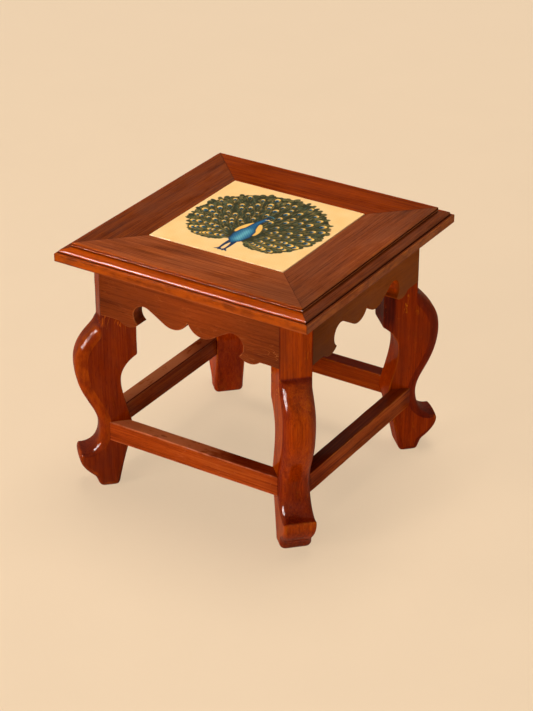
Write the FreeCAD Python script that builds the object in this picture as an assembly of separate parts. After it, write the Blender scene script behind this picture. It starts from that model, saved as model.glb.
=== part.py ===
import FreeCAD, Part
import math
import os
from FreeCAD import Vector

os.makedirs("parts", exist_ok=True)

# A square footstool with a tile in its top, in millimetres.
# +Z is up and the origin is on the floor under the middle of the top.
# The front looks to -Y. Legs stand on the diagonals of the square.

# Overall
stool_height = 266.0  # floor to the top face of the wooden frame

# Tile and what lies under it
tile_size = 150.0
tile_thickness = 6.0
tile_proud = 0.6  # height of the tile's face above the frame
tile_edge_round = 0.8
tile_gap = 0.5  # between the tile and the frame, all round
bed_thickness = 1.5
bed_margin = 5.0  # from the tile's edge to the bed's edge
panel_thickness = 6.0
panel_depth = 10.0  # how far the panel goes into the groove of a rail
panel_end_gap = 0.5
panel_top_gap = 0.3

# Rails of the top and their moulded edge
rail_width = 64.5
rail_thickness = 18.0
nose_setback = 12.0  # from the outer face to the nose under the top face
nose_height = 3.3
nose_round = 1.3
quirk_depth = 1.0
quirk_height = 0.7
ovolo_drop = 1.4  # fall of the sloping part of the moulding
ovolo_rim = 3.0  # from the outer face to the riser under the moulding
ovolo_round = 3.6
riser_height = 0.9
band_round = 0.8
rail_edge_ease = 0.4
top_overhang = 16.8  # from the outer face of a rail back to the apron under it

# Loose tongues in the mitres
tongue_length = 40.0
tongue_width = 20.0
tongue_thickness = 4.0
tongue_height = 5.0  # from the underside of the top to the tongue
tongue_gap = 0.2

# Legs: planks that stand on the diagonals
leg_thickness = 31.4
post_depth = 34.6  # size of the square post along the diagonal
leg_round = 10.0  # rounding of the outer edge from the knee to the toe
leg_round_steps = 5
leg_round_limit = 0.45  # largest share of the plank's thickness that the rounding may take
shelf_height = 182.0  # where the knee leaves the post
shelf_run = 5.6
shelf_fall = 4.6
shelf_side_share = 0.1  # what is left of the shelf at the leg's sides
knee_height = 138.0
knee_reach = 26.0  # reaches are counted outwards from the post's outer face
knee_upper_handle = 20.0
knee_lower_handle = 38.0
knee_lead = 9.0
ankle_height = 65.0
ankle_reach = 4.2
ankle_upper_handle = 24.0
ankle_lower_handle = 15.0
lip_height = 40.0
lip_reach = 24.4
lip_sink = 0.3  # fall of the lip at the sides for each unit of rounding
lip_narrow = 0.45
scoop_handle = 12.0
scoop_rise = 1.0
toe_reach = 28.4
toe_height = 34.0
toe_under_reach = 25.4
toe_under_height = 24.0
heel_height = 13.5
heel_reach = 12.9
toe_narrow = 0.3
foot_outer_reach = 5.9
foot_depth = 19.0
foot_round_out = 2.5
foot_round_height = 3.0
instep_low = 14.0
instep_low_reach = 2.4
instep_high = 38.0
instep_high_reach = 7.6
block_height = 64.5  # where the leg is widest inwards, beside the stretchers
block_inset = 6.0  # insets are counted outwards from the post's inner face
block_handle = 11.5
hollow_height = 120.0
hollow_inset = 16.8
hollow_lower_handle = 20.0
hollow_upper_handle = 11.0
post_foot_height = 147.0
post_foot_lead = 10.0
post_foot_fall = 6.5

# Aprons and their scalloped lower edge, depths counted from the apron's top
apron_thickness = 15.0
apron_depth = 57.0  # at the legs
lobe_x = 17.0
lobe_depth = 28.5
lobe_radius = 18.0
notch_x = 50.0
notch_depth = 43.5
notch_radius = 11.8
bead_x = 68.5
bead_depth = 42.0
bead_radius = 16.0
cusp_x = 79.5
wing_rise = 1.2

# Stretchers
stretcher_setback = 3.2  # from the apron's outer face back to the stretcher's
stretcher_thickness = 15.0
stretcher_height = 21.0
stretcher_middle = 64.5  # height of its middle above the floor
stretcher_ease = 0.8

# Tenons of the aprons and stretchers
tenon_thickness = 6.5
tenon_gap = 0.1
tenon_end_gap = 0.8
apron_tenon_setback = 7.5
apron_tenon_length = 9.0
apron_tenon_height = 34.0
apron_tenon_drop = 11.0
stretcher_tenon_setback = 4.3
stretcher_tenon_length = 12.0
stretcher_tenon_height = 15.0

# Cleats inside the aprons, and their screws
cleat_length = 120.0
cleat_size = 15.0
screw_length = 25.0
screw_radius = 1.75
screw_head_radius = 3.4
screw_head_height = 2.0
screw_tip = 3.0
screw_slot_width = 0.9
screw_slot_depth = 0.8
screw_gap = 0.05
apron_screw_x = 42.0
top_screw_x = 24.0

# Sizes that follow from the ones above
opening_half = tile_size / 2 + tile_gap
top_half = opening_half + rail_width
apron_face = top_half - top_overhang
stretcher_face = apron_face - stretcher_setback
tongue_centre = (opening_half + top_half) / math.sqrt(2)  # the middle of a mitre
top_under = stool_height - rail_thickness
tile_under = stool_height + tile_proud - tile_thickness
panel_top = tile_under - bed_thickness
panel_under = panel_top - panel_thickness
leg_side = leg_thickness / math.sqrt(2)  # a leg's side cuts the rails this far from their corner
post_outer = apron_face * math.sqrt(2) - leg_thickness / 2
post_inner = post_outer - post_depth
round_size = min(leg_round, leg_round_limit * leg_thickness)
cleat_face = apron_face - apron_thickness
cleat_middle = cleat_face - cleat_size / 2
cleat_under = top_under - cleat_size

sides = ["front", "right", "back", "left"]
corners = ["front_right", "back_right", "back_left", "front_left"]
quarter_turn = 360 / len(sides)


def turned(shape, degrees):
    copy = shape.copy()
    copy.rotate(Vector(0, 0, 0), Vector(0, 0, 1), degrees)
    return copy


def line(a, b):
    return Part.LineSegment(a, b).toShape()


def arc(a, b, c):
    return Part.Arc(a, b, c).toShape()


def bezier(*poles):
    curve = Part.BezierCurve()
    curve.setPoles(list(poles))
    return curve.toShape()


def block(x0, x1, y0, y1, z0, z1):
    return Part.makeBox(x1 - x0, y1 - y0, z1 - z0, Vector(x0, y0, z0))


def mitred(face, thickness, cut, z0, z1):
    # A board's plan behind the outer face y = -face, its ends cut at 45 degrees.
    inner = face - thickness
    plan = [
        Vector(cut - face, -face, z0),
        Vector(face - cut, -face, z0),
        Vector(inner - cut, -inner, z0),
        Vector(cut - inner, -inner, z0),
    ]
    return Part.Face(Part.makePolygon(plan + plan[:1])).extrude(Vector(0, 0, z1 - z0))


# Tile, its bed and the panel under it
def make_tile():
    half = tile_size / 2
    tile = block(-half, half, -half, half, tile_under, tile_under + tile_thickness)
    face = max(tile.Faces, key=lambda f: f.CenterOfMass.z)
    return tile.makeFillet(tile_edge_round, face.Edges)


def make_bed():
    half = tile_size / 2 - bed_margin
    return block(-half, half, -half, half, panel_top, tile_under)


def make_panel():
    half = opening_half + panel_depth - panel_end_gap
    return block(-half, half, -half, half, panel_under, panel_top)


# Top rails: one moulded section along each side, mitred, with a groove for the panel
def rail_section():
    def at(out, up):
        return Vector(0, -out, up)

    def quarter(start, corner, end):
        # A quarter round that touches both lines through its corner.
        middle = (start + end) * 0.5
        return arc(start, middle + (corner - middle) * (math.sqrt(2) - 1), end)

    nose = top_half - nose_setback
    nose_foot = stool_height - nose_height
    slope_top = nose_foot - quirk_height
    rim = top_half - ovolo_rim
    rim_top = slope_top - ovolo_drop
    band_top = rim_top - ovolo_round - riser_height
    groove = opening_half + panel_depth
    groove_top = panel_top + panel_top_gap
    p = {
        "inner_top": at(opening_half, stool_height),
        "nose_start": at(nose - nose_round, stool_height),
        "nose_corner": at(nose, stool_height),
        "nose_end": at(nose, stool_height - nose_round),
        "nose_foot": at(nose, nose_foot),
        "quirk_in": at(nose - quirk_depth, nose_foot),
        "quirk_under": at(nose - quirk_depth, slope_top),
        "slope_end": at(rim - ovolo_round, rim_top),
        "rim_corner": at(rim, rim_top),
        "rim_end": at(rim, rim_top - ovolo_round),
        "riser_foot": at(rim, band_top),
        "band_start": at(top_half - band_round, band_top),
        "band_corner": at(top_half, band_top),
        "band_end": at(top_half, band_top - band_round),
        "foot_start": at(top_half, top_under + rail_edge_ease),
        "foot_corner": at(top_half, top_under),
        "foot_end": at(top_half - rail_edge_ease, top_under),
        "inner_foot": at(opening_half, top_under),
        "groove_foot": at(opening_half, panel_under),
        "groove_low": at(groove, panel_under),
        "groove_high": at(groove, groove_top),
        "groove_top": at(opening_half, groove_top),
    }
    edges = [
        line(p["inner_top"], p["nose_start"]),
        quarter(p["nose_start"], p["nose_corner"], p["nose_end"]),
        line(p["nose_end"], p["nose_foot"]),
        line(p["nose_foot"], p["quirk_in"]),
        line(p["quirk_in"], p["quirk_under"]),
        line(p["quirk_under"], p["slope_end"]),
        quarter(p["slope_end"], p["rim_corner"], p["rim_end"]),
        line(p["rim_end"], p["riser_foot"]),
        line(p["riser_foot"], p["band_start"]),
        quarter(p["band_start"], p["band_corner"], p["band_end"]),
        line(p["band_end"], p["foot_start"]),
        quarter(p["foot_start"], p["foot_corner"], p["foot_end"]),
        line(p["foot_end"], p["inner_foot"]),
        line(p["inner_foot"], p["groove_foot"]),
        line(p["groove_foot"], p["groove_low"]),
        line(p["groove_low"], p["groove_high"]),
        line(p["groove_high"], p["groove_top"]),
        line(p["groove_top"], p["inner_top"]),
    ]
    return Part.Face(Part.Wire(edges))


def make_tongue(gap=0.0):
    # Lies across the mitre of the front right corner.
    r0 = tongue_centre - tongue_length / 2 - gap
    r1 = tongue_centre + tongue_length / 2 + gap
    half = tongue_width / 2 + gap
    z0 = top_under + tongue_height
    tongue = block(r0, r1, -half, half, z0, z0 + tongue_thickness + gap)
    return turned(tongue, -45)


def make_rail():
    section = rail_section()
    section.translate(Vector(-top_half, 0, 0))
    rail = section.extrude(Vector(2 * top_half, 0, 0))
    rail = rail.common(mitred(top_half, rail_width, 0, top_under, stool_height))
    pocket = make_tongue(tongue_gap)
    holes = [screw_hole(s) for s in top_screws()]
    return rail.cut([pocket, turned(pocket, -90)] + holes)


# Screws: they stand on their head along +Z, then are placed
def screw_body(gap=0.0):
    shank = screw_radius + gap
    outline = [
        Vector(0, 0, 0),
        Vector(screw_head_radius + gap, 0, 0),
        Vector(shank, 0, screw_head_height),
        Vector(shank, 0, screw_length - screw_tip + gap),
        Vector(0, 0, screw_length + gap),
    ]
    face = Part.Face(Part.makePolygon(outline + outline[:1]))
    return face.revolve(Vector(0, 0, 0), Vector(0, 0, 1), 360)


def make_screw(place):
    half = screw_slot_width / 2
    reach = screw_head_radius
    slot = block(-reach, reach, -half, half, 0, screw_slot_depth)
    screw = screw_body().cut(slot)
    screw.Placement = place
    return screw


def screw_hole(place):
    hole = screw_body(screw_gap)
    hole.Placement = place
    return hole


def top_screws():
    # Up through the front cleat into the front rail.
    upright = FreeCAD.Rotation()
    return [
        FreeCAD.Placement(Vector(x, -cleat_middle, cleat_under), upright)
        for x in (-top_screw_x, top_screw_x)
    ]


def apron_screws():
    # Outwards through the front cleat into the front apron.
    outwards = FreeCAD.Rotation(Vector(0, 0, 1), Vector(0, -1, 0))
    face = -(cleat_face - cleat_size)
    height = cleat_under + cleat_size / 2
    return [
        FreeCAD.Placement(Vector(x, face, height), outwards)
        for x in (-apron_screw_x, apron_screw_x)
    ]


def make_cleat():
    half = cleat_length / 2
    inner = cleat_face - cleat_size
    cleat = block(-half, half, -cleat_face, -inner, cleat_under, top_under)
    return cleat.cut([screw_hole(s) for s in top_screws() + apron_screws()])


# Tenons at the ends of the front apron and the front stretcher
def tenons(face, thickness, setback, length, z0, z1, gap=0.0, end_gap=0.0):
    outer = face - setback
    inner = outer - tenon_thickness
    reach = outer - leg_side + length + end_gap
    root = face - thickness - leg_side - length
    left = block(-reach, -root, -outer - gap, -inner + gap, z0 - gap, z1 + gap)
    right = block(root, reach, -outer - gap, -inner + gap, z0 - gap, z1 + gap)
    return left, right


def apron_tenons(gap=0.0, end_gap=0.0):
    top = top_under - apron_tenon_drop
    bottom = top - apron_tenon_height
    return tenons(apron_face, apron_thickness, apron_tenon_setback, apron_tenon_length,
                  bottom, top, gap, end_gap)


def stretcher_tenons(gap=0.0, end_gap=0.0):
    low = stretcher_middle - stretcher_tenon_height / 2
    high = stretcher_middle + stretcher_tenon_height / 2
    return tenons(stretcher_face, stretcher_thickness, stretcher_tenon_setback,
                  stretcher_tenon_length, low, high, gap, end_gap)


# Aprons
def scallops():
    # Lower edge of the right half, from the middle outwards: a lobe, a notch, a bead and a wing.
    def at(x, depth):
        return Vector(x, -apron_face, top_under - depth)

    def on_circle(x, depth, radius, angle):
        # The angle is counted from straight down, towards the end of the apron.
        return at(x + radius * math.sin(angle), depth + radius * math.cos(angle))

    lobe = (lobe_x, lobe_depth, lobe_radius)
    notch = (notch_x, notch_depth, notch_radius)
    bead = (bead_x, bead_depth, bead_radius)
    # The lobe and the notch are joined by the straight line that touches both circles.
    run = notch_x - lobe_x
    fall = notch_depth - lobe_depth
    span = math.hypot(run, fall)
    turn = math.atan2(run, fall) - math.acos((lobe_radius + notch_radius) / span)
    lobe_start = -math.asin(lobe_x / lobe_radius)
    lobe_end = turn
    notch_start = turn + math.pi
    # The notch and the bead meet in a point.
    gap_x = bead_x - notch_x
    gap_fall = bead_depth - notch_depth
    gap = math.hypot(gap_x, gap_fall)
    lean = math.atan2(gap_x, gap_fall)
    notch_open = math.acos((gap**2 + notch_radius**2 - bead_radius**2) / (2 * gap * notch_radius))
    bead_open = math.acos((gap**2 + bead_radius**2 - notch_radius**2) / (2 * gap * bead_radius))
    notch_end = lean - notch_open
    bead_start = lean - math.pi + bead_open
    bead_end = math.asin((cusp_x - bead_x) / bead_radius)
    cusp = on_circle(*bead, bead_end)
    end = at(apron_face, apron_depth)
    wing = (cusp + end) * 0.5 + Vector(0, 0, wing_rise)
    return [
        arc(on_circle(*lobe, lobe_start), on_circle(*lobe, (lobe_start + lobe_end) / 2),
            on_circle(*lobe, lobe_end)),
        line(on_circle(*lobe, lobe_end), on_circle(*notch, notch_start)),
        arc(on_circle(*notch, notch_start), on_circle(*notch, (notch_start + notch_end) / 2),
            on_circle(*notch, notch_end)),
        arc(on_circle(*bead, bead_start), on_circle(*bead, (bead_start + bead_end) / 2), cusp),
        arc(cusp, wing, end),
    ]


def make_apron():
    half_edge = scallops()
    mirror = FreeCAD.Matrix(-1, 0, 0, 0, 0, 1, 0, 0, 0, 0, 1, 0, 0, 0, 0, 1)
    other = [edge.transformGeometry(mirror) for edge in half_edge]
    top_left = Vector(-apron_face, -apron_face, top_under)
    top_right = Vector(apron_face, -apron_face, top_under)
    low_left = Vector(-apron_face, -apron_face, top_under - apron_depth)
    low_right = Vector(apron_face, -apron_face, top_under - apron_depth)
    rest = [line(low_left, top_left), line(top_left, top_right), line(top_right, low_right)]
    wire = Part.Wire(Part.__sortEdges__(half_edge + other + rest))
    board = Part.Face(wire).extrude(Vector(0, apron_thickness, 0))
    plan = mitred(apron_face, apron_thickness, leg_side, 0, top_under)
    board = board.common(plan).fuse(apron_tenons())
    return board.removeSplitter().cut([screw_hole(s) for s in apron_screws()])


# Stretchers
def make_stretcher():
    low = stretcher_middle - stretcher_height / 2
    high = stretcher_middle + stretcher_height / 2
    inner = stretcher_face - stretcher_thickness
    bar = block(-stretcher_face, stretcher_face, -stretcher_face, -inner, low, high)
    long_edges = [e for e in bar.Edges if abs(e.tangentAt(e.FirstParameter).x) > 0.9]
    bar = bar.makeFillet(stretcher_ease, long_edges)
    bar = bar.common(mitred(stretcher_face, stretcher_thickness, leg_side, low, high))
    return bar.fuse(stretcher_tenons()).removeSplitter()


# Legs: the outline in the plane of the diagonal, x outwards, at one place across the plank
def leg_outline(across, drop):
    # The drop is how far the rounding has brought the outer edge in at this place.
    def out(reach, height):
        return Vector(post_outer + reach, across, height)

    def into(inset, height):
        return Vector(post_inner + inset, across, height)

    share = 1 - (1 - shelf_side_share) * drop / round_size
    shelf = out(0, shelf_height)
    knee_top = out(shelf_run * share, shelf_height - shelf_fall * share)
    knee = out(knee_reach - drop, knee_height)
    ankle = out(ankle_reach - drop, ankle_height)
    lip = out(lip_reach - lip_narrow * drop, lip_height - lip_sink * drop)
    toe = toe_narrow * drop
    heel = out(heel_reach - toe, heel_height)
    foot_out = out(foot_outer_reach - toe, 0)
    foot_in = out(foot_outer_reach - foot_depth, 0)
    block_in = into(block_inset, block_height)
    hollow = into(hollow_inset, hollow_height)
    post_foot = into(0, post_foot_height)
    top_in = into(0, top_under)
    top_out = out(0, top_under)
    up = Vector(0, 0, 1)
    return Part.Wire([
        line(top_out, shelf),
        line(shelf, knee_top),
        bezier(knee_top, knee_top + Vector(knee_lead, 0, -knee_lead),
               knee + up * knee_upper_handle, knee),
        bezier(knee, knee - up * knee_lower_handle, ankle + up * ankle_upper_handle, ankle),
        bezier(ankle, ankle - up * ankle_lower_handle,
               lip + Vector(-scoop_handle, 0, scoop_rise), lip),
        bezier(lip, out(toe_reach - toe, toe_height - lip_sink * drop),
               out(toe_under_reach - toe, toe_under_height), heel),
        bezier(heel, foot_out + Vector(foot_round_out, 0, heel_height - foot_round_height),
               foot_out + Vector(foot_round_out, 0, foot_round_height), foot_out),
        line(foot_out, foot_in),
        bezier(foot_in, foot_in + Vector(-instep_low_reach, 0, instep_low),
               foot_in + Vector(-instep_high_reach, 0, instep_high), block_in),
        bezier(block_in, block_in + up * block_handle, hollow - up * hollow_lower_handle, hollow),
        bezier(hollow, hollow + up * hollow_upper_handle,
               post_foot + Vector(post_foot_lead, 0, -post_foot_fall), post_foot),
        line(post_foot, top_in),
        line(top_in, top_out),
    ])


def make_leg():
    flat = leg_thickness / 2 - round_size
    places = []
    for step in range(leg_round_steps + 1):
        angle = math.pi / 2 * step / leg_round_steps
        places.append((flat + round_size * math.sin(angle), round_size * (1 - math.cos(angle))))
    wires = [leg_outline(-across, drop) for across, drop in reversed(places)]
    wires += [leg_outline(across, drop) for across, drop in places]
    leg = turned(Part.makeLoft(wires, True, True), -45)
    mortises = []
    for left, right in (apron_tenons(tenon_gap, tenon_end_gap),
                        stretcher_tenons(tenon_gap, tenon_end_gap)):
        mortises += [right, turned(left, 90)]
    return leg.cut(mortises)


# Every piece in its own file. Sides and corners are turned copies of the first one.
def write(name, shape):
    shape.exportStep("parts/" + name + ".step")


def write_round(first, names, shape):
    for turn, name in enumerate(names):
        write(first + name, turned(shape, turn * quarter_turn))


def write_screws(name, places):
    screws = [make_screw(place) for place in places]
    turns = range(len(sides))
    write(name, Part.makeCompound([turned(s, t * quarter_turn) for t in turns for s in screws]))


write("tile", make_tile())
write("tile_bed", make_bed())
write("tile_panel", make_panel())
write_round("top_rail_", sides, make_rail())
write_round("mitre_tongue_", corners, make_tongue())
write_round("apron_", sides, make_apron())
write_round("stretcher_", sides, make_stretcher())
write_round("leg_", corners, make_leg())
write_round("cleat_", sides, make_cleat())
write_screws("cleat_apron_screws", apron_screws())
write_screws("cleat_top_screws", top_screws())
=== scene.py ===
import functools
import math
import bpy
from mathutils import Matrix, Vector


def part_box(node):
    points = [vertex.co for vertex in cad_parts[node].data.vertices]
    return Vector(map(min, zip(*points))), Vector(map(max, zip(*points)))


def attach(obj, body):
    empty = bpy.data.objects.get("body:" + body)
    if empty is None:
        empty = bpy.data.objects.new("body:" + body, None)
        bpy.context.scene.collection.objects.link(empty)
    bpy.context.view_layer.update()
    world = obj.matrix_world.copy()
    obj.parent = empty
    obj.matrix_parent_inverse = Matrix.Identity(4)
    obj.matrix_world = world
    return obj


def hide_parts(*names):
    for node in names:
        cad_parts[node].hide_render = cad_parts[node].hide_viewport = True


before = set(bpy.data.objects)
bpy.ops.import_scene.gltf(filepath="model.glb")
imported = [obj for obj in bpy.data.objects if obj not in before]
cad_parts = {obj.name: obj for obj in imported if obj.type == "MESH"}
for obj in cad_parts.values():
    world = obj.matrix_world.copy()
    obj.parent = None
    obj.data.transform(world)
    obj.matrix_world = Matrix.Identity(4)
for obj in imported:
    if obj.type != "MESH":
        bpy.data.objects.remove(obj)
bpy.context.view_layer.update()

from types import SimpleNamespace
import bpy
import numpy as np
from mathutils import Vector

mm = 0.001  # the shapes below are written in millimetres
print("frame loaded:", len(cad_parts), "nodes")

sideNames = ["front", "right", "back", "left"]
cornerNames = ["front_right", "back_right", "back_left", "front_left"]


def boxMm(node):
    return [np.array(corner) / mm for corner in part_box(node)]


# heights and faces that the frame gives
railLow, railHigh = boxMm("top_rail_front")
topFace, topUnder = railHigh[2], railLow[2]
topHalf, openingHalf = -railLow[1], -railHigh[1]
apronLow, apronHigh = boxMm("apron_front")
apronFace, apronThick = -apronLow[1], apronHigh[1] - apronLow[1]
barLow, barHigh = boxMm("stretcher_front")
barFace, barThick = -barLow[1], barHigh[1] - barLow[1]
tileLow, tileHigh = boxMm("tile")
panelLow, panelHigh = boxMm("tile_panel")
legThick = 31.4
legSide = legThick / math.sqrt(2)  # from the corner of two faces to the side of the leg there


# outlines: closed loops of points in one plane, run clockwise

def runAlong(points):
    # distance of each point from the first one, along the line
    return np.concatenate([[0], np.cumsum(np.hypot(*np.diff(points, axis=0).T))])


def pointsAt(where, run, points):
    return np.stack([np.interp(where, run, points[:, k]) for k in (0, 1)], 1)


def evenly(points, step):
    # the same line with its points about one step apart, without the last one
    run = runAlong(points)
    count = max(2, int(round(run[-1] / step)))
    return pointsAt(np.linspace(0, run[-1], count, endpoint=False), run, points)


def floats(*points):
    return [np.array(p, float) for p in points]


def straight(a, b):
    return np.array([a, b], float)


def bezier(a, b, c, d):
    # cubic curve from a to d that leaves towards b and arrives from c
    t = np.linspace(0, 1, 160)[:, None]
    a, b, c, d = floats(a, b, c, d)
    return a * (1 - t) ** 3 + 3 * b * t * (1 - t) ** 2 + 3 * c * t * t * (1 - t) + d * t ** 3


def arcOf(centre, radius, start, end):
    # part of a circle, angles from straight down, towards +x
    angle = np.linspace(start, end, 120)
    return np.stack([centre[0] + radius * np.sin(angle), centre[1] - radius * np.cos(angle)], 1)


def quarterRound(a, corner, b):
    # quarter of an ellipse that touches both lines through its corner
    t = np.linspace(0, math.pi / 2, 40)[:, None]
    a, corner, b = floats(a, corner, b)
    return corner + (a - corner) * (1 - np.sin(t)) + (b - corner) * (1 - np.cos(t))


def roundedLoop(corners):
    # closed loop; a corner is (x, y, rounding, step on the rounding, step on the straight after it)
    parts = []
    for before, here, after in zip(corners[-1:] + corners[:-1], corners, corners[1:] + corners[:1]):
        a, b, c = floats(before[:2], here[:2], after[:2])
        came, goes = (b - a) / np.linalg.norm(b - a), (c - b) / np.linalg.norm(c - b)
        rounding, bendStep, step = here[2:]
        leave = b + goes * rounding
        if rounding:
            parts.append(evenly(quarterRound(b - came * rounding, b, leave), bendStep))
        if step:  # where two roundings meet there is no straight
            parts.append(evenly(straight(leave, c - goes * after[2]), step))
    return np.concatenate(parts)


def closedLoop(segments):
    # joins (line, step, first values, last values); the values change evenly along each line
    points, values = [], []
    for line, step, first, last in segments:
        part = evenly(line, step)
        share = np.linspace(0, 1, len(part), endpoint=False)[:, None]
        points.append(part)
        values.append(np.array(first, float) * (1 - share) + np.array(last, float) * share)
    return np.concatenate(points), np.concatenate(values)


def softened(loop, amount, passes):
    # moves each point towards the middle of its neighbours
    for _ in range(passes):
        middle = (np.roll(loop, 1, 0) + np.roll(loop, -1, 0)) / 2
        loop = loop + (middle - loop) * amount
    return loop


def loopNormals(loop):
    along = np.roll(loop, -1, 0) - np.roll(loop, 1, 0)
    along /= np.maximum(np.hypot(*along.T), 1e-9)[:, None]
    return np.stack([-along[:, 1], along[:, 0]], 1)


def loopCorners(loop, reach):
    # how sharply the loop turns within reach of each point: above 0 on arrises, below 0 in hollows
    closed = np.concatenate([loop, loop[:1]])
    run = runAlong(closed)
    behind, here, ahead = (pointsAt(np.mod(run[:-1] + k * reach, run[-1]), run, closed) for k in (-1, 0, 1))
    before, after = here - behind, ahead - here
    return (before[:, 1] * after[:, 0] - before[:, 0] * after[:, 1]) / reach ** 2


# masks and unevenness

def unit(values):
    return np.clip(values, 0, 1)


def largest(*layers):
    return functools.reduce(np.maximum, layers)


def bell(gap, reach):
    # 1 at no gap, falling away like a bell within the reach
    return np.exp(-(gap / reach) ** 2)


def easedWay(count):
    # from -1 to 1 in steps that get shorter towards both ends
    return np.sin(np.linspace(-math.pi / 2, math.pi / 2, count))[:, None]


def slowSwell(points, seed, size, wave, count=6):
    # hand-work unevenness: a few long sine waves in random directions, added up
    rng = np.random.default_rng(seed)
    heading = rng.normal(size=(count, points.shape[-1]))
    heading *= 2 * math.pi / wave / np.linalg.norm(heading, axis=1, keepdims=True)
    heading *= rng.uniform(0.6, 1.5, (count, 1))
    phase = rng.uniform(0, 2 * math.pi, count)
    return size * np.sin(points @ heading.T + phase).mean(-1)


# meshes

def turnAbout(points, degrees):
    a = math.radians(degrees)
    return points @ np.array([[math.cos(a), math.sin(a), 0], [-math.sin(a), math.cos(a), 0], [0, 0, 1]])


def floatLayer(mesh, name, values, domain="POINT"):
    layer = mesh.attributes.new(name, "FLOAT", domain)
    layer.data.foreach_set("value", np.asarray(values, np.float32).ravel())


def skinMesh(name, rings, arris, hollow):
    # skin over rings of points (rings, points, xyz) with a flat face over the first and the last ring;
    # the edge masks stop at the rims of these two
    count, around = rings.shape[:2]
    verts = rings.reshape(-1, 3) * mm
    index = np.arange(count * around).reshape(count, around)
    onward = np.roll(index, -1, 1)
    quads = np.stack([index[:-1], onward[:-1], onward[1:], index[1:]], -1).reshape(-1, 4)
    first, last = index[0, ::-1], index[-1]
    a, b, c, d = (verts[quads[:, k]] for k in range(4))
    volume = np.einsum("ij,ij->", a, np.cross(b, c)) + np.einsum("ij,ij->", a, np.cross(c, d))
    if volume < 0:  # faces look outwards
        quads, first, last = quads[:, ::-1], first[::-1], last[::-1]
    mesh = bpy.data.meshes.new(name)
    mesh.from_pydata(verts, [], quads.tolist() + [first.tolist(), last.tolist()], shade_flat=False)
    mesh.set_sharp_from_angle(angle=math.radians(35))
    ends = np.empty(len(mesh.edges) * 2, int)
    mesh.edges.foreach_get("vertices", ends)
    ends = ends.reshape(-1, 2) // around
    rim = (ends[:, 0] == ends[:, 1]) & ((ends[:, 0] == 0) | (ends[:, 0] == count - 1))
    keen = np.zeros(len(mesh.edges), bool)
    mesh.edges.foreach_get("use_edge_sharp", keen)
    mesh.edges.foreach_set("use_edge_sharp", keen | rim)
    # the arris layer carries edge wear and some painted light, the hollow layer painted shade and darker polish
    for label, values in (("arris", arris), ("hollow", hollow)):
        onSkin = np.broadcast_to(values, (count, around)).ravel()[quads.ravel()]
        floatLayer(mesh, label, np.concatenate([onSkin, np.zeros(2 * around)]), "CORNER")
    mesh.validate()
    return mesh


def easedBoard(loop, rounding, crown, half, count, blend):
    # a board's outline at each step across it: drawn in by its edge rounding, and by a crown
    # that grows with the square of the distance from the middle; the directions are blended along the loop
    near = half * np.linspace(0, 1, count) ** 2.6  # steps close together near both faces
    across = np.concatenate([near - half, (half - near)[::-1][1:]])
    depth = np.abs(across)[:, None]
    bent = np.clip(depth - (half - rounding), 0, rounding)
    inset = rounding - np.sqrt(np.maximum(rounding ** 2 - bent ** 2, 0))
    inset = inset + crown * (depth / half) ** 2
    outline = loop[None] - softened(loopNormals(loop), 0.5, blend)[None] * inset[..., None]
    edge = bell(half - depth - 0.3 * rounding, 0.8) * unit(1.6 - rounding / 3)  # weaker on wide roundings
    return across, outline, edge


def addPiece(name, mesh, material, node):
    piece = bpy.data.objects.new(name, mesh)
    bpy.context.scene.collection.objects.link(piece)
    mesh.materials.append(material)
    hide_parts(node)
    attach(piece, "root")


# shader nodes

fibreTurn = {"x": (0, 0, 0), "y": (0, 0, -math.pi / 2), "z": (0, math.pi / 2, 0)}


def toLinear(screen):
    # from 0 to 255 as on a screen to linear light
    c = np.asarray(screen) / 255
    return np.where(c <= 0.04045, c / 12.92, ((c + 0.055) / 1.055) ** 2.4)


def srgb(colour):
    return (*toLinear(colour).tolist(), 1.0)


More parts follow.
